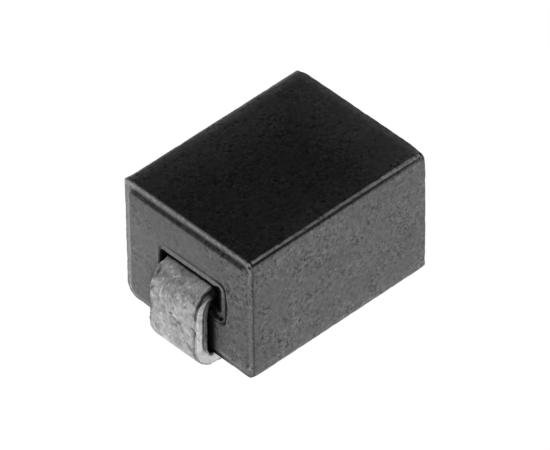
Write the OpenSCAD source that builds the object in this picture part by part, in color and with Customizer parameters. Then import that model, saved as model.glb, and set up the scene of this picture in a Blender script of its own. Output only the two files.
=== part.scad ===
// Surface-mount ferrite bead: a pressed ferrite block with one flat conductor through it.
// Millimetres. X runs along the slot, Y across the block, Z up from the board.

/* [Ferrite core] */
// Length of the core over its raised end faces
core_length = 4.09; // [3.4:0.01:8]
// Width of the core
core_width = 3.05; // [2.4:0.01:6]
// Height of the core
core_height = 2.55; // [1.8:0.01:5]
// Radius of the two upper long edges
top_edge_r = 0.09; // [0.07:0.01:0.2]
// Radius of the lower long edge at the front
front_foot_edge_r = 0.12; // [0.07:0.01:0.3]
// Radius of the lower long edge at the back
back_foot_edge_r = 0.27; // [0.07:0.01:0.4]

/* [End faces] */
// Break of the sharp edge round each end
end_edge_break = 0.03; // [0.02:0.005:0.06]
// Width of the flat land round each raised face
land_width = 0.09; // [0.04:0.01:0.15]
// Width of the flat land above each mouth of the slot and in front of it
mouth_land_width = 0.14; // [0.04:0.01:0.2]
// Width of the flat land below each mouth of the slot
mouth_land_below = 0.07; // [0.04:0.01:0.2]
// Radius of the mouth land's corners
mouth_corner_r = 0.1; // [0.05:0.01:0.25]
// Depth of both lands below the raised face, which rises from them at 45 degrees
land_depth = 0.065; // [0.03:0.005:0.09]
// Radius of the raised face's corners, where they meet the land
raised_corner_r = 0.1; // [0.1:0.01:0.2]

/* [Conductor strip] */
// Width of the strip
strip_width = 1.11; // [0.8:0.01:1.6]
// Thickness of the strip
strip_thickness = 0.27; // [0.16:0.01:0.4]
// Break of the strip's sheared edges
strip_edge_break = 0.02; // [0.02:0.005:0.05]
// Radius inside the bends where the strip leaves the slot
upper_bend_r = 0.24; // [0.1:0.01:0.3]
// Radius inside the bends above the solder feet
lower_bend_r = 0.17; // [0.1:0.01:0.25]
// Radius outside the bends above the solder feet, which are squeezed as the strip is closed
lower_bend_outer_r = 0.55; // [0.4:0.01:0.6]
// Length of the flat underside of each solder foot
foot_length = 0.75; // [0.5:0.01:1]

/* [Fit of the strip] */
// Gap between the strip and the front side of the slot
slot_front_gap = 0.17; // [0.05:0.01:0.3]
// Gap between the strip and the back side of the slot
slot_back_gap = 0.09; // [0.05:0.01:0.3]
// Gap between the strip and the slot's ceiling
slot_gap_above = 0.04; // [0.02:0.01:0.2]
// Gap between the strip and the slot's floor
slot_gap_below = 0.15; // [0.03:0.01:0.3]
// Gap between the strip and the raised end faces
end_gap = 0.08; // [0.05:0.01:0.3]
// Radius of the slot's corners
slot_corner_r = 0.07; // [0.03:0.01:0.12]

/* [Hidden] */
$fn = 48;

ferrite_grey = [0.25, 0.25, 0.26];
tin_grey = [0.66, 0.66, 0.67];
// How far a block runs back into the one that carries it
root_length = 0.02;
// How far a cut runs past the face that it opens
cut_overrun = 0.01;

// The core sits on the tops of the feet
core_bottom = strip_thickness;
core_middle = core_bottom + core_height / 2;
core_edge_radii = [front_foot_edge_r, back_foot_edge_r, top_edge_r, top_edge_r];
land_x = core_length / 2 - land_depth;
plain_x = land_x - end_edge_break;
land_inset = end_edge_break + land_width;
raised_radii = [for (r = core_edge_radii) max(r - land_inset, raised_corner_r)];

slot_width = strip_width + slot_front_gap + slot_back_gap;
slot_y = (slot_back_gap - slot_front_gap) / 2;
slot_height = strip_thickness + slot_gap_above + slot_gap_below;
slot_radii = [for (corner = [1:4]) slot_corner_r];
mouth_radii = [for (corner = [1:4]) mouth_corner_r];

// The strip is a flat loop that is open between its feet, and its lower bends clear the core's edges
strip_top = core_middle + slot_height / 2 - slot_gap_above;
upright_x = max(core_length / 2 + end_gap, plain_x + lower_bend_r);
outside_x = upright_x + strip_thickness;
foot_tip_x = outside_x - lower_bend_outer_r - foot_length;
upper_bend_outer_r = upper_bend_r + strip_thickness;
outside_radii = [lower_bend_outer_r, lower_bend_outer_r, upper_bend_outer_r, upper_bend_outer_r];
inside_radii = [lower_bend_r, lower_bend_r, upper_bend_r, upper_bend_r];

// Block laid along X from x = 0, with its own radius at each corner: lower front, lower back, upper back
// and upper front. Its far end is larger by grow on every side, or smaller if grow is negative. A root of
// the same section as its near end may run back from x = 0.
module flared_block(width, height, radii, length, grow = 0, root = 0)
    rotate([90, 0, 90])
        for (corner = [0:3])
            rotate(90 * corner)
                flared_quarter(corner % 2 == 0 ? [width, height] : [height, width],
                    radii[corner], radii[(corner + 1) % 4], length, grow, root);

// One corner of a flared block, and the side from it to the next corner
module flared_quarter(size, r, next_r, length, grow, root) {
    half_depth = size[1] / 2;
    corner_u = r - size[0] / 2;
    root_points = root > 0 ? [[-half_depth, -root]] : [];
    translate([corner_u, r - half_depth, 0]) {
        cylinder(h = length, r1 = r, r2 = r + grow);
        if (root > 0)
            translate([0, 0, -root])
                cylinder(h = root, r = r);
    }
    translate([corner_u, 0, 0])
        rotate([90, 0, 90])
            linear_extrude(size[0] - r - next_r)
                polygon(concat([[0, -root], [0, length], [-half_depth - grow, length], [-half_depth, 0]],
                    root_points));
}

// Plain block, half_length long on each side of the middle
module through_block(width, height, radii, half_length)
    translate([-half_length, 0, 0])
        flared_block(width, height, radii, 2 * half_length);

// Makes the same thing at both ends
module at_both_ends()
    for (end = [0, 1])
        mirror([end, 0, 0])
            children();

// The pressed block before its slot: its plain length, the broken end edges and the raised end faces
module core_blank() {
    through_block(core_width, core_height, core_edge_radii, plain_x);
    at_both_ends() {
        translate([plain_x, 0, 0])
            flared_block(core_width, core_height, core_edge_radii, end_edge_break, -end_edge_break,
                root_length);
        translate([land_x, 0, 0])
            flared_block(core_width - 2 * land_inset, core_height - 2 * land_inset, raised_radii,
                land_depth, -land_depth, root_length);
    }
}

// The slot, with a sunk land above, below and in front of each of its mouths. Behind, the raised face runs
// up to the slot.
module slot_space() {
    mouth_depth = land_depth + cut_overrun;
    mouth_width = slot_width + mouth_land_width - mouth_depth;
    mouth_height = slot_height + mouth_land_width + mouth_land_below;
    mouth_y = -(mouth_land_width + mouth_depth) / 2;
    mouth_z = (mouth_land_width - mouth_land_below) / 2;
    translate([0, slot_y, 0]) {
        through_block(slot_width, slot_height, slot_radii, core_length / 2 + cut_overrun);
        at_both_ends()
            translate([land_x, mouth_y, mouth_z])
                flared_block(mouth_width, mouth_height, mouth_radii, mouth_depth, mouth_depth);
    }
}

module ferrite_core()
    color(ferrite_grey)
        translate([0, 0, core_middle])
            difference() {
                core_blank();
                slot_space();
            }

// Flat loop as wide as the strip, between two heights. Its edges turn in or out by edge_grow.
module flat_loop(half_length, z_from, z_to, radii, edge_length, edge_grow) {
    plain_half = strip_width / 2 - strip_edge_break;
    loop_size = [2 * half_length, z_to - z_from];
    translate([0, 0, (z_from + z_to) / 2])
        rotate(90) {
            through_block(loop_size[0], loop_size[1], radii, plain_half);
            at_both_ends()
                translate([plain_half, 0, 0])
                    flared_block(loop_size[0], loop_size[1], radii, edge_length, edge_grow, root_length);
        }
}

module conductor_strip() {
    inner_edge = strip_edge_break + cut_overrun;
    color(tin_grey)
        difference() {
            flat_loop(outside_x, 0, strip_top, outside_radii, strip_edge_break, -strip_edge_break);
            flat_loop(upright_x, strip_thickness, strip_top - strip_thickness, inside_radii,
                inner_edge, inner_edge);
            translate([-foot_tip_x, -strip_width, -cut_overrun])
                cube([2 * foot_tip_x, 2 * strip_width, strip_thickness + 2 * cut_overrun]);
        }
}

ferrite_core();
conductor_strip();
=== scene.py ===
"""Surface-mount ferrite bead: looks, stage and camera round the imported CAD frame."""
import math
from typing import NamedTuple

import bpy
import numpy as np
from mathutils import Matrix, Vector


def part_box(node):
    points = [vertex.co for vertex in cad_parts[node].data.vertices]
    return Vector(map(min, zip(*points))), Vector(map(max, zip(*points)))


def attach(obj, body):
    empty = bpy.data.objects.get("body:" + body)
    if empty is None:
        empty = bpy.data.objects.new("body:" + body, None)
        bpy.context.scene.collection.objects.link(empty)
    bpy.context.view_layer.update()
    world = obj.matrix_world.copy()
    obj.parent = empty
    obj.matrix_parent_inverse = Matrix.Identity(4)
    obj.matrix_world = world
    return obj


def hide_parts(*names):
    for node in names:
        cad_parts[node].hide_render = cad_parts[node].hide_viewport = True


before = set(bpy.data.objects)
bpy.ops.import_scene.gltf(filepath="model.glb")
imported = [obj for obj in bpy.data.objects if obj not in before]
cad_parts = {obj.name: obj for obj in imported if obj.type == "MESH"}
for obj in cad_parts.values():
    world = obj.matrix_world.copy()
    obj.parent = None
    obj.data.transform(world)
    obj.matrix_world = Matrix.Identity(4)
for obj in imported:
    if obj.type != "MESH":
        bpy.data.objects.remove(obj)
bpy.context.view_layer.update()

# Shapes are worked out in millimetres, and meshes are written in metres. As in the CAD, X runs along the
# slot, Y across the core and Z up from the board. The camera sees the end at low x and the side at low y.
MM = 0.001

# Lowest and highest corner of each CAD node, in millimetres
core_low, core_high = (np.array(corner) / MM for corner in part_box("ferrite_core"))
strip_low, strip_high = (np.array(corner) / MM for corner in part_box("conductor_strip"))

# Camera: direction and roll in degrees, lengths in millimetres
VIEW_AZIMUTH = -43.03
VIEW_ELEVATION = 41.96
VIEW_ROLL = -0.87
VIEW_DISTANCE = 152.34
VIEW_AIM = (0.0191, 0.0464, 1.4619)
VIEW_LENS = 602.3
SENSOR_WIDTH = 36
CLIP_NEAR = 1
CLIP_FAR = 10000

# Core: edge radii in the order lower front, lower back, upper back, upper front
CORE_EDGE_RADII = np.array([0.12, 0.27, 0.08, 0.09])
END_EDGE_R = 0.024
# Land round the raised end face, and the run of the slope between them
LAND_INSET = 0.1
LAND_DEPTH = 0.065
LAND_RISE_RUN = 0.085
RAISED_CORNER_R = 0.1
# Rounding at the foot and the edge of a slope, as a share of its run
SLOPE_SOFTNESS = 0.25
# Slot. Its ceiling lies a little higher than in the CAD.
SLOT_FRONT_GAP = 0.17
SLOT_BACK_GAP = 0.09
SLOT_HEIGHT = 0.46
SLOT_RAISE = 0.02
SLOT_CORNER_R = 0.07
SLOT_EDGE_R = 0.015
# Land round the slot's mouth, with the shares of its width that lie below the slot and behind it
MOUTH_LAND = 0.14
MOUTH_BELOW_SHARE = 0.75
MOUTH_BACK_SHARE = 0.1
MOUTH_STEP_RUN = 0.045
MOUTH_CORNER_R = 0.1
# Fine groove that the press leaves under the upper long edges
EDGE_GROOVE_DOWN = 0.066
EDGE_GROOVE_WIDTH = 0.018
EDGE_GROOVE_DEPTH = 0.008
# Corners that are rubbed: the sides that each lies on, how far it goes in along each axis, and the reach of
# the rub. One goes outwards, because it is sharper than the others.
RUBBED_CORNERS = [
    ((1, -1, 1), (0.02, 0.004, 0.022), 0.22),
    ((1, 1, 1), (0.05, 0.0, 0.0), 0.15),
    ((1, -1, -1), (0.007, 0.007, 0.007), 0.12),
    ((-1, -1, -1), (0.006, 0.006, 0.012), 0.08),
    ((1, -1, -0.82), (0.016, 0.002, 0.0), 0.09),
    ((-1, 1, 1), (0.0, -0.014, -0.014), 0.12),
]

# Strip. Its bends press the uprights a little thicker, and the hollow of the upper bends wider.
STRIP_THICKNESS = 0.27
UPPER_BEND_R = 0.24
HOLLOW_BEND_R = 0.29
LOWER_BEND_R = 0.17
LOWER_BEND_OUTER_R = 0.55
UPRIGHT_LEAN = 0.03
UPRIGHT_SWELL = 0.025
FOOT_LENGTH = 0.75
# Sheared edge: a rolled-over corner, a burnished band, then a fracture that lies back behind a groove, and a
# burr at the inner face. Shares are of the strip's thickness.
SHEAR_ROUND = 0.03
BURNISH_SHARE = 0.58
FRACTURE_STEP = 0.012
FRACTURE_STEP_RUN = 0.02
GROOVE_SHARE = 0.7
GROOVE_WIDTH = 0.012
GROOVE_DEPTH = 0.014
BURR_ROUND = 0.012
# Distance along the strip, from its middle, where the fracture ends, and the length of its fade
FRACTURE_END = 3.5
FRACTURE_FADE = 0.35

# Marks on the strip: the points that each follows, as distance along the strip from its middle and place
# across it, then its half width and its strength
NICKS = [
    ([(2.86, 0.05), (2.86, 0.03)], 0.025, 1.2),
    ([(2.99, 0.09), (2.91, 0.02)], 0.014, 0.5),
    ([(2.91, -0.02), (2.92, -0.08)], 0.018, 1.1),
    ([(2.94, -0.14), (2.94, -0.18)], 0.026, 1.1),
    ([(3.04, -0.02), (3.05, -0.08)], 0.018, 0.8),
    ([(2.81, 0.18), (2.83, 0.17)], 0.016, 0.6),
    ([(2.92, 0.19), (2.94, 0.18)], 0.016, 0.6),
    ([(2.88, -0.47), (2.93, -0.53), (3.00, -0.55)], 0.028, 1.2),
    ([(2.55, -0.54), (2.67, -0.55)], 0.022, 1.0),
    ([(3.22, -0.29), (3.33, -0.44), (3.42, -0.53)], 0.022, 0.8),
    ([(2.16, 0.50), (2.21, 0.475), (2.27, 0.47), (2.33, 0.485), (2.40, 0.515)], 0.028, 0.85),
    ([(2.56, 0.47), (2.59, 0.51), (2.66, 0.54)], 0.026, 1.2),
    ([(2.84, 0.53), (2.90, 0.49), (3.02, 0.50)], 0.045, 0.75),
    ([(3.30, 0.39), (3.36, 0.37), (3.41, 0.335)], 0.016, 0.9),
    ([(2.20, 0.12), (2.27, 0.17)], 0.012, 0.5),
    ([(2.52, -0.20), (2.56, -0.10)], 0.012, 0.5),
    ([(2.66, 0.22), (2.72, 0.27)], 0.012, 0.4),
]
RUBS = [
    ([(2.03, 0.42), (2.26, 0.37)], 0.022, 1.0),
    ([(2.08, 0.33), (2.16, 0.24)], 0.018, 0.8),
    ([(2.09, 0.13), (2.12, 0.05)], 0.020, 0.7),
    ([(2.10, -0.10), (2.15, -0.14)], 0.022, 0.9),
    ([(2.44, 0.51), (2.50, 0.47)], 0.025, 0.9),
    ([(2.70, 0.51), (2.76, 0.47)], 0.025, 0.9),
    ([(2.50, 0.30), (2.75, 0.24)], 0.020, 0.5),
    ([(2.99, 0.14), (3.00, 0.13)], 0.018, 0.9),
    ([(2.81, -0.02), (2.82, -0.04)], 0.016, 0.8),
    ([(2.86, -0.07), (2.86, -0.09)], 0.016, 0.5),
    ([(3.03, -0.15), (3.05, -0.19)], 0.035, 0.7),
    ([(3.36, 0.26), (3.41, 0.24)], 0.025, 0.7),
    ([(3.00, -0.40), (3.12, -0.49)], 0.026, 0.8),
    ([(3.34, 0.43), (3.40, 0.40)], 0.022, 0.9),
    ([(2.36, -0.30), (2.60, -0.42)], 0.020, 0.4),
]
NICK_DEPTH = 0.014

# Relief of each piece, and how far its wear reaches from an edge
CORE_RELIEF = {"Pore Size": 0.11 * MM, "Pore Depth": 0.006 * MM,
               "Wear Size": 0.2 * MM, "Wear Depth": 0.006 * MM}
STRIP_RELIEF = {"Pore Size": 0.16 * MM, "Pore Depth": 0.01 * MM,
                "Wear Size": 0.14 * MM, "Wear Depth": 0.024 * MM}
CORE_WEAR_REACH = 0.06
STRIP_WEAR_REACH = 0.05

# Tones: the core's sides, the painted shade on its top, and the tin
SIDE_TONE = 0.128
TOP_SHADE_TONE = 0.013
TIN_TONE = 0.4
FERRITE_TINT = (0.99, 0.99, 1.02)
TIN_TINT = (0.99, 0.99, 1.01)

# Counts of points and rings of the core, and shares where a few rings lie
CORNER_POINTS = 16
LEVEL_POINTS = 70
UPRIGHT_POINTS = 60
LENGTH_RINGS = 110
END_EDGE_RINGS = 6
LAND_RINGS = (0.25, 0.5, 0.75)
SLOPE_END_RINGS = 4
SLOPE_MIDDLE_RINGS = (0.35, 0.65)
FACE_RINGS = 26
MOUTH_LAND_RINGS = (0.7, 0.35)
SLOT_EDGE_RINGS = 4
SLOT_RINGS = 20
# Distance of a point that is nowhere near an edge
FAR = 9.0

# Counts of points of the strip, along it and round its section
FOOT_STEPS = 20
BEND_STEPS = 38
RISE_STEPS = 36
SPAN_STEPS = 24
OUTER_FACE_STEPS = 82
INNER_FACE_STEPS = 16
EDGE_STEPS = 20
EDGE_CORNER_STEPS = 5
# Shares of the thickness between which the points of a sheared edge are evenly spaced
EDGE_EVEN_SHARES = (0.16, 0.96)

# Stage: a white paper sweep that is flat under the part and turns up all round it. It lies a hair below the
# feet, so that their undersides share no plane with it.
SWEEP_FLAT = 240
SWEEP_BEND = 60
SWEEP_HEIGHT = 100
SWEEP_SIDES = 96
SWEEP_BEND_STEPS = 10
PAPER_GAP = 0.004
PAPER_LEVEL = 0.9
GLOW_SHARE = 0.9
GLOW_LEVEL = 1.12
ROOM_LEVEL = 0.1
# Softboxes: name, azimuth and elevation. The level is what a white card that faces one would show.
SOFTBOXES = [("right_softbox", 64, 56), ("front_softbox", -50, 20)]
SOFTBOX_DISTANCE = 200
SOFTBOX_SIZE = 70
SOFTBOX_LEVEL = 0.2


# Node trees


class Wire:
    """One output of a node. Arithmetic on it adds Math nodes to its tree."""

    def __init__(self, tree, socket):
        self.tree = tree
        self.socket = socket

    def math(self, operation, *values):
        return self.tree.add("ShaderNodeMath", {"operation": operation}, dict(enumerate((self, *values))))

    def __add__(self, other):
        return self.math("ADD", other)

    def __sub__(self, other):
        return self.math("SUBTRACT", other)

    def __mul__(self, other):
        return self.math("MULTIPLY", other)

    def __rsub__(self, other):
        return self.tree.add("ShaderNodeMath", {"operation": "SUBTRACT"}, {0: other, 1: self})

    def __rtruediv__(self, other):
        return self.tree.add("ShaderNodeMath", {"operation": "DIVIDE"}, {0: other, 1: self})

    def __abs__(self):
        return self.math("ABSOLUTE")

    __radd__ = __add__
    __rmul__ = __mul__

    def smooth(self, low, high):
        """0 below low and 1 above high, or the other way round where low is the larger."""
        return self.tree.add("ShaderNodeMapRange", {"interpolation_type": "SMOOTHSTEP"},
                             {"Value": self, "From Min": low, "From Max": high})

    def between(self, start, end, soft):
        """1 from start to end, fading to 0 over soft on both sides."""
        return self.smooth(start - soft, start + soft) * self.smooth(end + soft, end - soft)


class Tree:
    """A node tree that is written from Python expressions."""

    def __init__(self, tree):
        self.tree = tree
        tree.nodes.clear()

    def add(self, kind, settings=None, sockets=None, output=0):
        """Adds a node: its settings first, then the values or links of its sockets."""
        node = self.tree.nodes.new(kind)
        for name, value in (settings or {}).items():
            setattr(node, name, value)
        for name, value in (sockets or {}).items():
            if isinstance(value, Wire):
                self.tree.links.new(value.socket, node.inputs[name])
            else:
                node.inputs[name].default_value = value
        return Wire(self, node.outputs[output]) if len(node.outputs) else node

    def attribute(self, name):
        return self.add("ShaderNodeAttribute", {"attribute_name": name}, output="Fac")

    def axes(self, vector, names):
        return [self.add("ShaderNodeSeparateXYZ", {}, {"Vector": vector}, output=name) for name in names]

    def noise(self, place, scale, detail=2.0, roughness=0.5, distortion=0.0):
        sockets = {"Vector": place, "Scale": scale, "Detail": detail, "Roughness": roughness,
                   "Distortion": distortion}
        return self.add("ShaderNodeTexNoise", {}, sockets, output="Fac")

    def scaled(self, vector, value):
        """A vector or a colour times a value."""
        return self.add("ShaderNodeVectorMath", {"operation": "SCALE"}, {0: vector, "Scale": value})


# Mesh helpers


def spaced(count, crowding=0.6):
    """Fractions from 0 to 1, both left out, that crowd towards both ends."""
    t = np.arange(1, count + 1) / (count + 1)
    return t - crowding * np.sin(2 * np.pi * t) / (2 * np.pi)


def blend(start, end, t):
    """Start where t is 0, end where it is 1."""
    return start + t * (end - start)


def soft_ramp(t, softness):
    """Straight ramp from 0 to 1 with rounded ends, which reach softness past them."""
    lower = np.clip(t + softness, 0, 2 * softness) ** 2 / (4 * softness)
    upper = np.clip(t - 1 + softness, 0, 2 * softness) ** 2 / (4 * softness)
    return lower + np.clip(t - softness, 0, None) - upper - np.clip(t - 1 - softness, 0, None)


def quad_faces(rows, columns, closed_rows):
    """Faces of a grid whose columns close on themselves, and whose rows may."""
    last = rows if closed_rows else rows - 1
    row, column = np.meshgrid(np.arange(last), np.arange(columns), indexing="ij")
    across = (column + 1) % columns
    along = (row + 1) % rows
    corners = [row * columns + column, row * columns + across,
               along * columns + across, along * columns + column]
    return np.stack(corners, -1).reshape(-1, 4)


def signed_volume(points, faces):
    """Six times the volume inside four-sided faces, below 0 where they look inwards."""
    a, b, c, d = (points[faces[:, k]] for k in range(4))
    return (np.einsum("ij,ij->i", a, np.cross(b, c)) + np.einsum("ij,ij->i", a, np.cross(c, d))).sum()


def distance_along(line):
    """Distance of each point of a line from its first, along the line."""
    return np.concatenate([[0], np.cumsum(np.linalg.norm(np.diff(line, axis=0), axis=1))])


def add_values(mesh, name, values):
    layer = mesh.attributes.new(name, "FLOAT", "POINT")
    layer.data.foreach_set("value", np.asarray(values, np.float32))


def mesh_piece(name, points, faces, attributes):
    """Object at the origin with a smooth mesh from points in millimetres, and named values on its points."""
    mesh = bpy.data.meshes.new(name)
    mesh.from_pydata((points * MM).tolist(), [], [list(face) for face in faces])
    mesh.shade_smooth()
    for key, values in attributes.items():
        add_values(mesh, key, values)
    piece = bpy.data.objects.new(name, mesh)
    bpy.context.scene.collection.objects.link(piece)
    return piece


# Shape of the core


def outline(front, back, bottom, top, radii):
    """Rounded rectangle across the core, as points (y, z), with the same count of points at any size."""
    corners = [(front, 1, bottom, 1), (back, -1, bottom, 1), (back, -1, top, -1), (front, 1, top, -1)]
    centres = [np.array([y + across * r, z + up * r]) for (y, across, z, up), r in zip(corners, radii)]
    bends = []
    for corner, (centre, radius) in enumerate(zip(centres, radii)):
        angles = math.pi + (corner + np.linspace(0, 1, CORNER_POINTS)) * math.pi / 2
        bends.append(centre + radius * np.stack([np.cos(angles), np.sin(angles)], 1))
    points = []
    for corner, bend in enumerate(bends):
        steps = spaced(LEVEL_POINTS if corner % 2 == 0 else UPRIGHT_POINTS)[:, None]
        points += [bend, blend(bend[-1], bends[(corner + 1) % 4][0], steps)]
    return np.concatenate(points)


def block_outline(inset, radii):
    """Outline of the core, or of a block that is smaller by inset on every side."""
    return outline(core_low[1] + inset, core_high[1] - inset, core_low[2] + inset, core_high[2] - inset, radii)


def slot_outline(grow, corner_r):
    """Outline of the slot, or of a space round its mouth that is larger by grow above and in front."""
    middle = (core_low[2] + core_high[2]) / 2
    front = strip_low[1] - SLOT_FRONT_GAP - grow
    back = strip_high[1] + SLOT_BACK_GAP + grow * MOUTH_BACK_SHARE
    bottom = middle - SLOT_HEIGHT / 2 - grow * MOUTH_BELOW_SHARE
    ceiling = middle + SLOT_HEIGHT / 2 + SLOT_RAISE + grow
    return outline(front, back, bottom, ceiling, [corner_r] * 4)


def inward(line):
    """Unit vectors into a closed outline that runs anticlockwise."""
    tangent = np.roll(line, -1, 0) - np.roll(line, 1, 0)
    normal = np.stack([-tangent[:, 1], tangent[:, 0]], 1)
    return normal / np.linalg.norm(normal, axis=1, keepdims=True)


def distance_down(section):
    """How far each point of the core's section lies from the flat top, along the section."""
    along = distance_along(section)
    top_start = 3 * CORNER_POINTS + LEVEL_POINTS + UPRIGHT_POINTS - 1
    top_end = top_start + LEVEL_POINTS + 1
    return np.maximum(along[top_start] - along, along - along[top_end])


class Ring(NamedTuple):
    """Outline round one end of the core, its height above the land, and how far it lies in from the end's
    outer edge and out from the slot."""
    points: np.ndarray
    height: float
    inset: object
    out: object


def end_rings(section, slot_wall):
    """Rings of one end, from the core's outer edge to the wall of its slot."""
    soft = SLOPE_SOFTNESS
    raised_radii = np.maximum(CORE_EDGE_RADII - LAND_INSET, RAISED_CORNER_R)
    rim = block_outline(END_EDGE_R, CORE_EDGE_RADII - END_EDGE_R)
    raised_foot = block_outline(LAND_INSET, raised_radii)
    raised_edge = block_outline(LAND_INSET + LAND_RISE_RUN, raised_radii - LAND_DEPTH)
    land_end = blend(raised_foot, raised_edge, -soft)
    mouth_foot = slot_outline(MOUTH_LAND, MOUTH_CORNER_R)
    mouth_edge = slot_outline(MOUTH_LAND + MOUTH_STEP_RUN, MOUTH_CORNER_R + MOUTH_STEP_RUN)
    slot_rim = slot_outline(SLOT_EDGE_R, SLOT_CORNER_R + SLOT_EDGE_R)
    slope = np.concatenate([np.linspace(-soft, soft, SLOPE_END_RINGS), SLOPE_MIDDLE_RINGS,
                            np.linspace(1 - soft, 1 + soft, SLOPE_END_RINGS)])

    rings = []
    for turn in np.linspace(0, math.pi / 2, END_EDGE_RINGS):
        points = blend(section, rim, 1 - math.cos(turn))
        rings.append(Ring(points, END_EDGE_R * (math.sin(turn) - 1), END_EDGE_R * turn, FAR))
    for t in LAND_RINGS:
        rings.append(Ring(blend(rim, land_end, t), 0.0,
                          blend(END_EDGE_R, LAND_INSET - soft * LAND_RISE_RUN, t), FAR))
    for t in slope:
        rings.append(Ring(blend(raised_foot, raised_edge, t), LAND_DEPTH * soft_ramp(t, soft),
                          LAND_INSET + t * LAND_RISE_RUN, FAR))
    face_outer = rings[-1].points
    face_inner = blend(mouth_foot, mouth_edge, 1 + soft)
    face_width = np.linalg.norm(face_inner - face_outer, axis=1)
    for t in spaced(FACE_RINGS):
        rings.append(Ring(blend(face_outer, face_inner, t), LAND_DEPTH,
                          LAND_INSET + LAND_RISE_RUN + t * face_width,
                          MOUTH_LAND + (1 + soft) * MOUTH_STEP_RUN + (1 - t) * face_width))
    for t in slope[::-1]:
        rings.append(Ring(blend(mouth_foot, mouth_edge, t), LAND_DEPTH * soft_ramp(t, soft),
                          FAR, MOUTH_LAND + t * MOUTH_STEP_RUN))
    for t in MOUTH_LAND_RINGS:
        rings.append(Ring(blend(slot_rim, mouth_foot, t), 0.0, FAR, blend(SLOT_EDGE_R, MOUTH_LAND, t)))
    for turn in np.linspace(math.pi / 2, 0, SLOT_EDGE_RINGS):
        points = blend(slot_wall, slot_rim, 1 - math.cos(turn))
        rings.append(Ring(points, SLOT_EDGE_R * (math.sin(turn) - 1), FAR, 0.0))
    return rings


def rub_corners(points):
    """Moves the points near the worn corners, and keeps them all in the core's box."""
    middle = (core_low + core_high) / 2
    half_size = (core_high - core_low) / 2 - (LAND_DEPTH, 0, 0)
    for sides, inwards, reach in RUBBED_CORNERS:
        corner = middle + np.array(sides) * half_size
        rub_and_painted_highlight = np.exp(-(np.linalg.norm(points - corner, axis=1) / reach) ** 2)
        points = points - rub_and_painted_highlight[:, None] * np.array(sides) * inwards
    return np.clip(points, core_low, core_high)


def core_shape():
    """Points, faces and distances of the core, as rings that go out along its length and back through its
    slot."""
    section = block_outline(0, CORE_EDGE_RADII)
    down = distance_down(section)
    groove = EDGE_GROOVE_DEPTH * np.exp(-((down - EDGE_GROOVE_DOWN) / EDGE_GROOVE_WIDTH) ** 2)
    section = section + groove[:, None] * inward(section)
    slot_wall = slot_outline(0, SLOT_CORNER_R)
    rings = end_rings(section, slot_wall)

    land_x = core_high[0] - LAND_DEPTH
    section_x = land_x - END_EDGE_R
    wall_x = land_x - SLOT_EDGE_R
    stack = [(section, x, abs(x) - section_x, FAR) for x in section_x * (2 * spaced(LENGTH_RINGS) - 1)]
    stack += [(ring.points, land_x + ring.height, ring.inset, ring.out) for ring in rings]
    stack += [(slot_wall, x, FAR, abs(x) - wall_x) for x in wall_x * (1 - 2 * spaced(SLOT_RINGS))]
    stack += [(ring.points, -land_x - ring.height, ring.inset, ring.out) for ring in rings[::-1]]

    columns = len(section)
    points = np.concatenate([np.column_stack([np.full(columns, x), line]) for line, x, _, _ in stack])
    inset = np.concatenate([np.broadcast_to(entry[2], columns) for entry in stack])
    mouth = np.concatenate([np.broadcast_to(entry[3], columns) for entry in stack])
    down = np.tile(down, len(stack))
    end_edge = np.exp(-(inset / CORE_WEAR_REACH) ** 2)
    long_edge = (inset < 0) * np.exp(-(down / CORE_WEAR_REACH) ** 2)
    distances = {"down": down, "inset": inset, "mouth": mouth, "edge": np.minimum(end_edge + long_edge, 1)}
    return rub_corners(points), quad_faces(len(stack), columns, True), distances


# Shape of the strip


def arc(centre, radius, start, end):
    angles = np.radians(np.linspace(start, end, BEND_STEPS))
    return np.array(centre) + radius * np.stack([np.cos(angles), np.sin(angles)], 1)


def strip_line(outside_x, base, top, lower_r, upper_r):
    """The strip's outer or inner line, from one foot's tip over the top to the other's, as (x, z)."""
    tip_x = strip_high[0] - LOWER_BEND_OUTER_R - FOOT_LENGTH
    lower = arc((outside_x - lower_r, base + lower_r), lower_r, -90, 0)
    upper = arc((outside_x - UPRIGHT_LEAN - upper_r, top - upper_r), upper_r, 0, 90)
    foot = np.linspace((tip_x, base), lower[0], FOOT_STEPS)[:-1]
    upright = np.linspace(lower[-1], upper[0], RISE_STEPS)[1:-1]
    level = np.linspace(upper[-1], (0, top), SPAN_STEPS)[1:]
    half = np.concatenate([foot, lower, upright, upper, level])
    return np.concatenate([half, half[-2::-1] * (-1, 1)])


def rounded_off(distance, radius):
    """How far a quarter round lies back at a distance from the corner that it takes off."""
    return radius - np.sqrt(np.maximum(radius ** 2 - np.clip(radius - distance, 0, None) ** 2, 0))


def edge_depths():
    """Depths below the outer face where the sheared edge has points, closer together at its corners."""
    corner = 1 - np.cos(np.linspace(0, math.pi / 2, EDGE_CORNER_STEPS)[1:])
    even = np.linspace(*EDGE_EVEN_SHARES, EDGE_STEPS) * STRIP_THICKNESS
    depths = np.concatenate([SHEAR_ROUND * corner, even, STRIP_THICKNESS - BURR_ROUND * corner])
    return np.unique(np.clip(depths, 0, STRIP_THICKNESS))


def edge_recess(depth, fracture):
    """How far the sheared edge lies back from the strip's full width, with a share of its fracture."""
    rounds = rounded_off(depth, SHEAR_ROUND) + rounded_off(STRIP_THICKNESS - depth, BURR_ROUND)
    step = FRACTURE_STEP * np.clip((depth - BURNISH_SHARE * STRIP_THICKNESS) / FRACTURE_STEP_RUN, 0, 1)
    groove = GROOVE_DEPTH * np.exp(-((depth - GROOVE_SHARE * STRIP_THICKNESS) / GROOVE_WIDTH) ** 2)
    return rounds + fracture * (step + groove)


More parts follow.
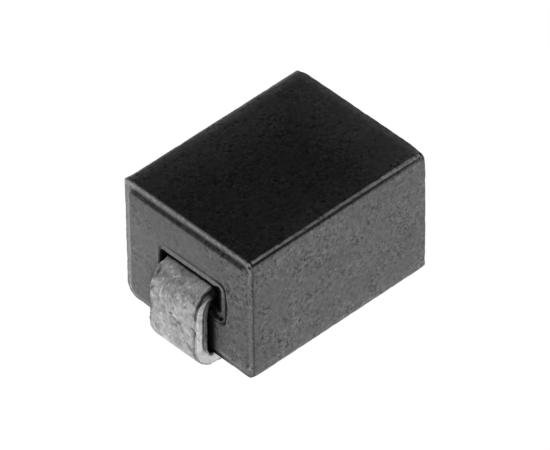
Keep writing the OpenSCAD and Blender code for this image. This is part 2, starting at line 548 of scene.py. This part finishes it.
def mark_strength(along, y, marks):
    """Strength of the strongest mark at each point."""
    strength = np.zeros(np.broadcast(along, y).shape)
    for points, half_width, amount in marks:
        for (from_along, from_y), (to_along, to_y) in zip(points, points[1:]):
            run, rise = to_along - from_along, to_y - from_y
            t = ((along - from_along) * run + (y - from_y) * rise) / (run ** 2 + rise ** 2)
            t = np.clip(t, 0, 1)
            distance = np.hypot(along - from_along - t * run, y - from_y - t * rise)
            strength = np.maximum(strength, amount * np.exp(-(distance / half_width) ** 2))
    return strength


def strip_shape():
    """Points, faces and distances of the strip: a section that is carried along its outer and inner lines."""
    outside_x, half_width, top = strip_high
    upright_x = outside_x - STRIP_THICKNESS - UPRIGHT_SWELL
    outer = strip_line(outside_x, 0.0, top, LOWER_BEND_OUTER_R, UPPER_BEND_R + STRIP_THICKNESS)
    inner = strip_line(upright_x, STRIP_THICKNESS, top - STRIP_THICKNESS, LOWER_BEND_R, HOLLOW_BEND_R)
    along = distance_along(outer)
    along = along - along[-1] / 2

    # The section: outer face, one sheared edge, inner face, the other edge
    depth = edge_depths()
    outer_steps = np.linspace(-1, 1, OUTER_FACE_STEPS)
    inner_steps = np.linspace(1, -1, INNER_FACE_STEPS)
    section_depth = np.concatenate([0 * outer_steps, depth, 0 * inner_steps + STRIP_THICKNESS, depth[::-1]])

    def section_y(fracture):
        recess = edge_recess(depth, fracture)
        return np.concatenate([outer_steps * (half_width - SHEAR_ROUND), half_width - recess,
                               inner_steps * (half_width - recess[-1]), recess[::-1] - half_width])

    fracture = np.clip((FRACTURE_END - np.abs(along)) / FRACTURE_FADE, 0, 1)
    y = np.array([section_y(share) for share in fracture])
    rows, columns = y.shape

    # Marks lie on the outer face, and those of one end are those of the other, turned half round
    outer_face = np.exp(-(section_depth / SHEAR_ROUND) ** 2)
    turned_y = y * np.sign(along)[:, None]
    nick, rub_and_painted_highlight = (outer_face * mark_strength(np.abs(along)[:, None], turned_y, marks) for marks in (NICKS, RUBS))

    share = (section_depth + NICK_DEPTH * nick) / STRIP_THICKNESS
    line = blend(outer[:, None, :], inner[:, None, :], share[:, :, None])
    points = np.stack([line[..., 0], y, line[..., 1]], -1).reshape(-1, 3)
    faces = quad_faces(rows, columns, False).tolist()
    faces.append(list(range(columns))[::-1])
    faces.append([(rows - 1) * columns + k for k in range(columns)])
    side = half_width - np.abs(y)
    edge = np.exp(-(side / STRIP_WEAR_REACH) ** 2) * np.exp(-(section_depth / STRIP_WEAR_REACH) ** 2)
    distances = {
        "depth": np.tile(section_depth, rows),
        "side": side.ravel(),
        "along": np.repeat(np.abs(along), columns),
        "edge": edge.ravel(),
        "nick": nick.ravel(),
        "rub_and_painted_highlight": rub_and_painted_highlight.ravel(),
    }
    return points, faces, distances


# Relief


def relief_tree():
    """Geometry Nodes that press pores into a surface and press its edges in where they are worn, always
    inwards.
    """
    group = bpy.data.node_groups.new("worn_relief", "GeometryNodeTree")
    inputs = [("Geometry", "NodeSocketGeometry"), ("Pore Size", "NodeSocketFloat"),
              ("Pore Depth", "NodeSocketFloat"), ("Wear Size", "NodeSocketFloat"),
              ("Wear Depth", "NodeSocketFloat"), ("Finish", "NodeSocketMaterial")]
    for name, kind in inputs:
        group.interface.new_socket(name, in_out="INPUT", socket_type=kind)
    group.interface.new_socket("Geometry", in_out="OUTPUT", socket_type="NodeSocketGeometry")
    tree = Tree(group)

    def given(name):
        return tree.add("NodeGroupInput", output=name)

    place = tree.add("GeometryNodeInputPosition")
    normal = tree.add("GeometryNodeInputNormal")
    edge = tree.add("GeometryNodeInputNamedAttribute", {"data_type": "FLOAT"}, {"Name": "edge"})
    pores = tree.noise(place, 1 / given("Pore Size"), detail=1.0).smooth(0.52, 0.24)
    wear_and_painted_light = tree.noise(place, 1 / given("Wear Size")).smooth(0.42, 0.72) * edge
    depth = pores * given("Pore Depth") + wear_and_painted_light * given("Wear Depth")
    offset = tree.scaled(normal, 0 - depth)
    pressed = tree.add("GeometryNodeSetPosition", {}, {"Geometry": given("Geometry"), "Offset": offset})
    real = tree.add("GeometryNodeRealizeInstances", {}, {"Geometry": pressed})
    finished = tree.add("GeometryNodeSetMaterial", {}, {"Geometry": real, "Material": given("Finish")})
    tree.add("NodeGroupOutput", {}, {"Geometry": finished})
    return group


def press_relief(piece, group, sizes):
    """Gives a piece the relief of a tree with the sizes of its inputs, as a plain mesh."""
    modifier = piece.modifiers.new("relief", "NODES")
    modifier.node_group = group
    identifiers = {item.name: item.identifier for item in group.interface.items_tree if item.in_out == "INPUT"}
    for name, value in sizes.items():
        modifier[identifiers[name]] = value
    graph = bpy.context.evaluated_depsgraph_get()
    mesh = bpy.data.meshes.new_from_object(piece.evaluated_get(graph), depsgraph=graph)
    piece.modifiers.clear()
    piece.data = mesh


# Finishes. Places and softness are millimetres, and the scale of a noise is per millimetre. Each kind of mark
# gives what it adds to a tone of 1, or the share of it that it takes off.


def new_finish(name):
    """A material, its tree, and Object coordinates in millimetres."""
    material = bpy.data.materials.new(name)
    material.use_nodes = True
    tree = Tree(material.node_tree)
    coordinates = tree.add("ShaderNodeTexCoord", output="Object")
    place = tree.add("ShaderNodeMapping", {}, {"Vector": coordinates, "Scale": (1 / MM,) * 3})
    return material, tree, place


def close_finish(tree, sockets):
    """Ends a finish with one Principled shader."""
    shader = tree.add("ShaderNodeBsdfPrincipled", {}, sockets)
    tree.add("ShaderNodeOutputMaterial", {}, {"Surface": shader})


def left_after(shares):
    """What is left of 1 after each share is taken off."""
    left = 1
    for share in shares:
        left = left * (1 - share)
    return left


class CorePlace:
    """Where a point of the core lies."""

    def __init__(self, tree, place):
        self.x, self.y, self.z = tree.axes(place, "XYZ")
        # Down from the flat top, in from the end's outer edge, out from the slot
        self.down, self.inset, self.mouth = (tree.attribute(name) for name in ("down", "inset", "mouth"))
        # How far the face there looks up, and a small waver for the edges of marks
        self.up = tree.attribute("up")
        self.waver = tree.noise(place, 7.0) - 0.5
        self.on_end = self.inset.smooth(-0.01, 0.02)
        self.beside = 1 - self.on_end
        self.near_end = self.x.smooth(0.5, -0.5)
        self.land = self.inset.between(0.002, LAND_INSET, 0.014) * self.inset.smooth(1.0, 0.5)
        # The band along the upper long edges where a highlight is painted
        highlight_place = self.down + self.waver * 0.03 - 0.01 * self.x.smooth(0.3, -0.9)
        fade_below = (highlight_place - 0.016 * self.x.smooth(0.2, 1.5)).smooth(0.054, 0.03)
        self.painted_edge_highlight = highlight_place.smooth(-0.024, 0.0) * fade_below * self.beside


def long_edge_marks(at):
    """The upper long edges carry a painted highlight, and painted shade lies in the groove under them."""
    # Painted highlight along the upper long edges
    rub_and_painted_highlight = 0.45 + 0.5 * at.x.smooth(-0.8, 1.8) + 0.7 * at.x.smooth(-1.5, -1.75) + at.waver * 1.6
    # Painted shade in the groove under the edges
    under_edge = at.down + at.waver * 0.02 - at.x.smooth(-1.0, 1.5) * 0.022
    groove_shade = under_edge.smooth(0.044, 0.07) * under_edge.smooth(0.14, 0.074) * at.beside
    return [at.painted_edge_highlight * rub_and_painted_highlight], [groove_shade * (0.55 - 0.12 * at.x.smooth(0.2, 1.5))]


def long_side_marks(at):
    """The long sides are painted lighter towards the lower edge, as light from below, and at the far end's
    edge, as a highlight, and are darker towards the near end.
    """
    # Painted light from below on the lower edge
    low = 0.14 * at.z.smooth(0.75, 0.35) + 0.25 * at.z.smooth(0.45, 0.32)
    # Painted highlight on the far end's edge
    far = 0.1 * at.x.smooth(1.6, 1.95) + 0.35 * at.x.smooth(1.945, 1.985)
    near = 0.08 * at.x.smooth(-1.3, -1.9)
    return [at.beside * (low + far - near)], []


def end_edge_marks(at):
    """The edge round the near end is a dark line, with a pit, a shadow and a glint at its upper front corner
    and a dark tip at the lower one."""
    line = (at.inset + at.waver * 0.03 - 0.008 * at.y.smooth(-1.2, -1.4)).between(-0.026, 0.02, 0.012)
    line = line * at.up.smooth(0.5, 0.2) * at.near_end
    pit = at.inset.between(-0.042, 0.004, 0.015) * at.down.between(-0.03, 0.1, 0.02) * at.y.smooth(-1.3, -1.45)
    shadow = at.on_end * at.y.between(-1.505, -1.435, 0.014) * at.z.between(2.705, 2.775, 0.014)
    glint = at.inset.between(-0.01, 0.03, 0.012) * at.y.between(-1.5, -1.44, 0.02) * at.z.smooth(2.77, 2.8)
    low_tip = at.on_end * at.y.smooth(-1.28, -1.4) * at.z.smooth(0.37, 0.32)
    return [0.5 * glint], [0.5 * line, 0.93 * pit, 0.88 * shadow, 0.3 * low_tip]


def land_marks(at):
    """The land round the raised face is painted lighter, with painted shade on it below in front. Painted light
    lies in bands along its top and back, painted shade and a dark stripe of it under its top, and a painted
    highlight on a lip above its lower side."""
    # Painted light on the land
    wear_and_painted_light = 0.25 + 0.3 * at.z.smooth(2.5, 2.68) + 0.4 * at.y.smooth(1.2, 1.42) + 0.15 * at.z.smooth(0.6, 0.4)
    top_band = at.inset.between(0.006, 0.05, 0.014) * at.z.smooth(2.68, 2.74) * (0.3 + at.waver * 1.3)
    back_band = 0.5 * at.inset.between(0.05, 0.17, 0.03) + 0.9 * at.inset.between(0.1, 0.155, 0.025)
    back_band = back_band * at.y.smooth(1.2, 1.35)
    low_lip = at.inset.between(0.175, 0.235, 0.015) * at.z.smooth(0.56, 0.5)
    low_lip = low_lip * (0.3 * at.y.smooth(-0.7, -0.78) + 0.45 * at.y.between(-1.05, -0.76, 0.05))
    top = at.z.smooth(2.5, 2.64) * at.on_end
    # Painted shade and a dark stripe of it under the land's top
    top_shade = at.inset.between(0.076, 0.13, 0.02) * top * (0.22 + 0.26 * at.y.smooth(0.6, -0.4))
    top_stripe = at.inset.between(0.1, 0.19, 0.02) * top * (0.08 + at.waver * 1.3)
    low_shade = 0.25 * at.land * at.z.smooth(0.45, 0.38) * at.y.smooth(-0.7, -0.8)
    return [at.land * wear_and_painted_light, top_band, back_band, low_lip], [top_shade, top_stripe, low_shade]


def raised_face_marks(at):
    """The raised face is painted lighter towards the back, where more light falls, and is lighter over the slot
    and at its lower front corner.
    """
    # Painted light towards the back
    back = at.y.smooth(-0.6, 1.3) * (0.3 - 0.24 * at.z.smooth(1.9, 2.4))
    over_slot = 0.09 * at.y.between(-0.6, 0.2, 0.3) * at.z.between(2.0, 2.5, 0.12)
    low_corner = 0.3 * at.y.smooth(-0.9, -1.25) * at.z.smooth(0.62, 0.42)
    return [at.on_end * (back + over_slot + low_corner)], []


def mouth_marks(at):
    """The land above the mouth is lighter and the one below it painted dark as shade, with a dark rim round
    both. Painted light on the lower step and on a lip at the back lifts the shade of their walls. The slot is
    painted dark inside as shade."""
    y, mouth = at.y, at.mouth
    high, low = at.z.smooth(1.78, 1.82), at.z.smooth(1.34, 1.3)
    # Lighter on the land above the mouth, painted shade on the land below it
    mouth_land_tone = high * (0.25 + 0.35 * y.smooth(0.6, 0.1)) - 0.45 * low * y.between(-0.68, 0.47, 0.05)
    mouth_land_tone = mouth_land_tone * mouth.between(0.012, MOUTH_LAND, 0.012)
    # Painted light on the lower step and the back lip, over the shade of their walls
    low_step = 1.2 * mouth.between(0.135, 0.185, 0.01) * low * y.smooth(-0.64, -0.7)
    back_lip = 0.35 * mouth.between(0.18, 0.25, 0.03) * y.smooth(0.6, 0.66) * at.z.smooth(1.86, 1.76)
    rim_place = mouth + at.waver * 0.02 - 0.012 * y.smooth(-0.7, -0.85) - 0.03 * low * y.smooth(-0.86, -0.64)
    rim_share = 0.45 + 0.5 * y.smooth(-0.55, -0.85) - 0.25 * low * y.smooth(-0.92, -0.82)
    rim = rim_place.between(0.192, 0.26, 0.014) * rim_share * y.smooth(0.75, 0.2)
    back_wall = y.smooth(0.54, 0.6) * at.z.smooth(1.83, 1.79)
    # Painted shade inside the slot
    inside = (mouth - 0.056 * y.smooth(-0.6, -0.72) - 0.162 * back_wall).smooth(0.012, -0.015)
    return [mouth_land_tone, low_step, back_lip], [rim, 0.98 * inside]


def strip_shade(at):
    """The end face is dark behind the strip, in the gap above its foot and beside it."""
    behind = at.y.between(-0.68, 0.53, 0.06) * at.z.smooth(1.62, 1.45) * at.on_end
    low_gap = (at.y - 0.95 * at.z + 1.115).smooth(-0.03, 0.03) * at.y.smooth(0.55, 0.5)
    low_gap = low_gap * at.z.smooth(0.5, 0.44) * at.on_end
    beside = abs(at.y).smooth(1.0, 0.6) * at.z.smooth(1.4, 1.2) * at.on_end
    return [], [0.99 * behind, 0.9 * low_gap, 0.5 * beside]


def painted_top_shade(at):
    """Share of the painted shade on the top, where the face looks up, which gives way along its edges to
    painted light.
    """
    back_corner = at.x.smooth(-1.9, -1.97) * at.y.smooth(1.42, 1.48)
    # The painted shade stops at the near end's top edge, where a highlight is painted
    end_top_edge_light = (at.inset - 0.012 * at.y.smooth(-1.1, -1.4)).between(-0.016, 0.035, 0.016) * at.near_end
    return (at.up + back_corner * 0.3).smooth(0.3, 0.75) * (1 - at.painted_edge_highlight) * (1 - end_top_edge_light)


def top_painted_light(at):
    """Painted light on the top's painted shade, towards its back, its front and its far end, and most in the
    far corners.
    """
    x, y = at.x, at.y
    back = (1.8 * y.smooth(0.2, 1.5) + 6.4 * y.smooth(1.22, 1.53)) * (1 - 0.22 * x.smooth(0.3, -1.5))
    front = 0.6 * y.smooth(-0.8, -1.35) * x.smooth(-1.5, -0.8)
    far_end = 2.1 * x.smooth(0.5, 2.0) + 5.0 * x.smooth(1.75, 2.0)
    corners = x.smooth(1.7, 1.98) * (5.0 * y.smooth(-1.2, -1.5) + 2.5 * y.smooth(1.15, 1.5))
    return back.math("MAXIMUM", far_end + front) + corners


CORE_MARKS = [long_edge_marks, long_side_marks, end_edge_marks, land_marks, raised_face_marks, mouth_marks,
              strip_shade]


def ferrite_finish():
    """Matt grey ferrite, painted dark on top as shade, with painted light and shade in many of its marks."""
    material, tree, place = new_finish("pressed_ferrite")
    at = CorePlace(tree, place)

    patch = tree.noise(place, 2.4).smooth(0.36, 0.64)
    grain = tree.noise(place, 15.5, detail=1.5, distortion=0.9) - 0.5
    mottle = tree.noise(place, 8.0, detail=3.0, roughness=0.55, distortion=0.6) - 0.5
    cloud = tree.noise(place, 1.4, detail=3.0) - 0.5
    pit = tree.noise(place, 14.0, detail=1.0).smooth(0.37, 0.27)
    fleck = tree.noise(place, 17.0, detail=1.0).smooth(0.66, 0.74)
    fine = grain * 2.0 - pit * 0.38 + fleck * 0.3
    pattern = fine * (0.55 + 0.75 * patch) + mottle * 0.4 + cloud * 0.2
    pattern = pattern * (1 - at.on_end * (0.35 - 0.45 * at.y.smooth(-0.3, -0.8)))

    lighter, darker = [], []
    for marks in CORE_MARKS:
        adds, takes_off = marks(at)
        lighter += adds
        darker += takes_off
    side_tone = SIDE_TONE * (1 + pattern) * (1 + sum(lighter)) * left_after(darker)
    # The top is painted dark as shade where it faces up, with painted light on it towards its edges and far
    # corners
    top_shade_tone = TOP_SHADE_TONE * (1 + pattern * 2.0 + top_painted_light(at) * (1 + pattern * 0.8))
    tone = side_tone + painted_top_shade(at) * (top_shade_tone - side_tone)
    bump = tree.add("ShaderNodeBump", {}, {"Strength": 0.4, "Distance": 0.01 * MM, "Height": grain - pit * 0.5})
    close_finish(tree, {
        "Base Color": tree.scaled(FERRITE_TINT, tone),
        "Roughness": 0.55 + grain * 0.2 + cloud * 0.1,
        "Specular IOR Level": 0.1,
        "Normal": bump,
    })
    return material


class StripPlace:
    """Where a point of the strip lies."""

    def __init__(self, tree, place):
        x, self.y = tree.axes(place, "XY")
        # Depth below the outer face, in from the nearer edge, and along the strip from its middle
        self.depth, self.side, self.along = (tree.attribute(name) for name in ("depth", "side", "along"))
        # A small waver for the edges of marks
        self.waver = tree.noise(place, 8.0) - 0.5
        # The front half of the near end, and the same half of the far end, turned half round
        self.turned = x * self.y
        self.front = self.turned.smooth(-0.02, 0.02)
        self.inner_face = self.depth.smooth(STRIP_THICKNESS - 0.008, STRIP_THICKNESS - 0.001)
        # The sheared edge, its burnished band, and the line where it tore
        self.sheared = self.depth.between(0.012, STRIP_THICKNESS - 0.006, 0.006) * self.side.smooth(0.05, 0.03)
        self.torn = self.depth + self.waver * 0.02 - 0.05 * self.along.smooth(3.2, 3.5)
        self.burnished = self.sheared * self.torn.smooth(0.62 * STRIP_THICKNESS, 0.52 * STRIP_THICKNESS)
        self.lip_fade = self.along.smooth(3.6, 3.2)


def sheared_edge_marks(at):
    """Dark parts of the sheared edges: the fracture, painted shadow on the upper bend and painted shade in its
    hollow, the burr that is drawn over them, partly painted shadow, and painted shade in the hollow of the
    lower bend."""
    depth, along, thick = at.depth, at.along, STRIP_THICKNESS
    fracture = at.torn.between(0.64 * thick, 0.74 * thick, 0.012) * at.lip_fade
    fracture = fracture * (0.65 + 0.2 * along.smooth(2.75, 2.5))
    # Painted shadow on the upper bend and painted shade in its hollow
    bend = 0.93 * along.smooth(2.2, 2.08)
    hollow = 0.85 * depth.smooth(0.72 * thick, 0.88 * thick) * along.smooth(2.4, 2.25)
    # Dark burr near the outer corner, partly painted shadow
    burr_and_shadow_depth = depth + at.waver * 0.12 - 0.17 * along.smooth(2.5, 2.15)
    burr_and_shadow = 0.76 * burr_and_shadow_depth.smooth(0.015, -0.015) * along.smooth(2.6, 2.4)
    # Painted shade in the hollow of the lower bend
    low_depth = depth - 0.05 * along.smooth(3.9, 3.55)
    low_hollow = 0.95 * low_depth.smooth(0.66 * thick, 0.88 * thick) * along.between(3.5, 4.1, 0.1)
    return [at.sheared * share for share in (fracture, bend, hollow, burr_and_shadow)] + [low_hollow]


def outer_corner_marks(at):
    """Dark lines along the outer face's corners: all along the front one, low on the upright at the back one,
    and a ragged burr beside the upper bend, partly painted shadow."""
    side, along = at.side, at.along
    lower_bend = along.smooth(3.25, 3.45)
    front_line = (side + at.waver * 0.02 - 0.02 * lower_bend).smooth(0.042, 0.03) * at.front
    front_line = front_line * (at.depth + at.waver * 0.02).smooth(0.05, 0.034)
    front_line = front_line * (0.36 + 0.2 * along.smooth(2.8, 2.6) + 0.15 * lower_bend)
    back_line = (side + at.waver * 0.02).smooth(0.07, 0.035) * at.depth.smooth(0.05, 0.034)
    back_line = 0.4 * back_line * (1 - at.front) * along.between(2.94, 3.34, 0.05)
    burr_and_shadow = (side + at.waver * 0.14).smooth(0.055, 0.02) * at.depth.smooth(0.06, 0.03) * at.front
    burr_and_shadow = 0.85 * burr_and_shadow * along.smooth(2.62, 2.4) * along.smooth(2.0, 2.15)
    return [front_line, back_line, burr_and_shadow]


def tin_finish():
    """Matt tin over copper, drawn lengthwise, with nicks, rubs and sheared edges, and painted light and shade.
    """
    material, tree, place = new_finish("matt_tin")
    at = StripPlace(tree, place)
    along = at.along
    lengthwise = tree.add("ShaderNodeCombineXYZ", {}, {"X": along * 2.2, "Y": at.y * 11.0})

    grain = tree.noise(place, 12.0, detail=2.5, roughness=0.6, distortion=0.6) - 0.5
    cloud = tree.noise(place, 3.4, detail=3.0, roughness=0.6) - 0.5
    streak = tree.noise(lengthwise, 1.0) - 0.5
    fleck = tree.noise(place, 10.0, roughness=0.6).smooth(0.6, 0.7)
    scratch = tree.noise(lengthwise, 1.7, detail=1.0, distortion=1.5).smooth(0.62, 0.68)
    pit = tree.noise(place, 12.0).smooth(0.34, 0.27)
    pattern = grain * 1.7 + cloud * 1.2 + streak * 0.6 + fleck * 0.5 + scratch * 0.3 - pit * 0.25

    # Painted light and shade along the strip: lighter where it leaves the slot, most of all in front, darker in
    # the middle of the upper bend, and a little lighter low on the upright
    upper_half = along.smooth(2.95, 2.5)
    pattern = pattern * (1 + 0.15 * upper_half) + 0.5 * along.smooth(2.34, 2.1) - 0.06 * upper_half
    pattern = pattern - 0.16 * along.between(2.2, 2.42, 0.06) + 0.1 * along.smooth(2.95, 3.25)
    pattern = pattern + 0.28 * at.turned.smooth(0.45, 0.8) * along.smooth(2.3, 2.15)

    nick, rub_and_painted_highlight = tree.attribute("nick"), tree.attribute("rub_and_painted_highlight")
    # The strip is painted dark as shade inside the slot and on its inner face
    in_slot = (along + at.waver * 0.03).smooth(1.99, 1.95)
    darker = sheared_edge_marks(at) + outer_corner_marks(at)
    darker += [0.9 * at.inner_face, 0.97 * in_slot, 0.62 * nick]
    lip = at.sheared - at.burnished
    lift = 1 + at.burnished * (0.5 + 0.55 * at.lip_fade) + lip * (0.2 - 0.8 * at.lip_fade)
    tone = TIN_TONE * (1 + pattern * (1 - at.burnished * 0.7)) * left_after(darker) * (1 + rub_and_painted_highlight * 0.35) * lift
    bump = tree.add("ShaderNodeBump", {}, {"Strength": 0.6, "Distance": 0.014 * MM,
                                           "Height": grain + cloud * 0.6 - scratch * 0.4 - pit * 0.5})
    close_finish(tree, {
        "Base Color": tree.scaled(TIN_TINT, tone),
        "Metallic": 0.45 + 0.55 * at.inner_face,
        "Roughness": 0.55 + cloud * 0.2 + grain * 0.15,
        "Normal": bump,
    })
    return material


# Pieces


def make_core(relief):
    points, faces, distances = core_shape()
    if signed_volume(points, faces) < 0:
        faces = faces[:, ::-1]
    piece = mesh_piece("pressed_core", points, faces, distances)
    normals = np.empty(3 * len(points), np.float32)
    piece.data.vertices.foreach_get("normal", normals)
    add_values(piece.data, "up", normals.reshape(-1, 3)[:, 2])
    press_relief(piece, relief, CORE_RELIEF | {"Finish": ferrite_finish()})
    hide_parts("ferrite_core")
    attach(piece, "root")


def make_strip(relief):
    points, faces, distances = strip_shape()
    quads = np.array([face for face in faces if len(face) == 4])
    if signed_volume(points, quads) < 0:
        faces = [face[::-1] for face in faces]
    piece = mesh_piece("folded_strip", points, faces, distances)
    press_relief(piece, relief, STRIP_RELIEF | {"Finish": tin_finish()})
    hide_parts("conductor_strip")
    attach(piece, "root")


# Stage


def make_sweep():
    turns = np.linspace(0, math.pi / 2, SWEEP_BEND_STEPS)
    radii = np.append(SWEEP_FLAT + SWEEP_BEND * np.sin(turns), SWEEP_FLAT + SWEEP_BEND)
    heights = np.append(SWEEP_BEND * (1 - np.cos(turns)), SWEEP_HEIGHT) - PAPER_GAP
    around = np.arange(SWEEP_SIDES) * 2 * math.pi / SWEEP_SIDES
    circle = np.stack([np.cos(around), np.sin(around)], 1)
    points = [np.column_stack([r * circle, np.full(SWEEP_SIDES, h)]) for r, h in zip(radii, heights)]
    faces = quad_faces(len(radii), SWEEP_SIDES, False).tolist() + [list(range(SWEEP_SIDES))]
    sweep = mesh_piece("paper_sweep", np.concatenate(points), faces, {})
    material = bpy.data.materials.new("white_paper")
    material.use_nodes = True
    tree = Tree(material.node_tree)
    paper = tree.add("ShaderNodeBsdfDiffuse", {}, {"Color": (PAPER_LEVEL, PAPER_LEVEL, PAPER_LEVEL, 1.0)})
    glow = tree.add("ShaderNodeEmission", {}, {"Strength": GLOW_LEVEL})
    surface = tree.add("ShaderNodeMixShader", {}, {0: GLOW_SHARE, 1: paper, 2: glow})
    tree.add("ShaderNodeOutputMaterial", {}, {"Surface": surface})
    sweep.data.materials.append(material)


def make_world():
    world = bpy.data.worlds.new("dim_room")
    world.use_nodes = True
    tree = Tree(world.node_tree)
    room = tree.add("ShaderNodeBackground", {}, {"Color": (1, 1, 1, 1), "Strength": ROOM_LEVEL})
    tree.add("ShaderNodeOutputWorld", {}, {"Surface": room})
    bpy.context.scene.world = world


def direction(azimuth, elevation):
    """Unit vector from the part towards an azimuth, 0 in front and 90 to the right, and an elevation."""
    a, e = math.radians(azimuth), math.radians(elevation)
    return Vector((math.sin(a) * math.cos(e), -math.cos(a) * math.cos(e), math.sin(e)))


def make_softbox(name, azimuth, elevation):
    """Square lamp that faces the part."""
    lamp = bpy.data.lights.new(name, "AREA")
    lamp.shape = "SQUARE"
    lamp.size = SOFTBOX_SIZE * MM
    lamp.energy = SOFTBOX_LEVEL * (math.pi * SOFTBOX_DISTANCE * MM) ** 2
    holder = bpy.data.objects.new(name, lamp)
    towards = direction(azimuth, elevation)
    holder.location = towards * SOFTBOX_DISTANCE * MM
    holder.rotation_euler = towards.to_track_quat("Z", "Y").to_euler()
    bpy.context.scene.collection.objects.link(holder)


def make_camera():
    towards = direction(VIEW_AZIMUTH, VIEW_ELEVATION)
    data = bpy.data.cameras.new("camera")
    data.sensor_width = SENSOR_WIDTH
    data.lens = VIEW_LENS
    data.clip_start = CLIP_NEAR * MM
    data.clip_end = CLIP_FAR * MM
    camera = bpy.data.objects.new("camera", data)
    roll = Matrix.Rotation(math.radians(VIEW_ROLL), 3, "Z").to_quaternion()
    camera.rotation_euler = (towards.to_track_quat("Z", "Y") @ roll).to_euler()
    camera.location = (Vector(VIEW_AIM) + towards * VIEW_DISTANCE) * MM
    bpy.context.scene.collection.objects.link(camera)
    bpy.context.scene.camera = camera


make_camera()
worn_relief = relief_tree()
make_core(worn_relief)
make_strip(worn_relief)
make_sweep()
make_world()
for softbox in SOFTBOXES:
    make_softbox(*softbox)
bpy.context.scene.view_settings.view_transform = "Standard"
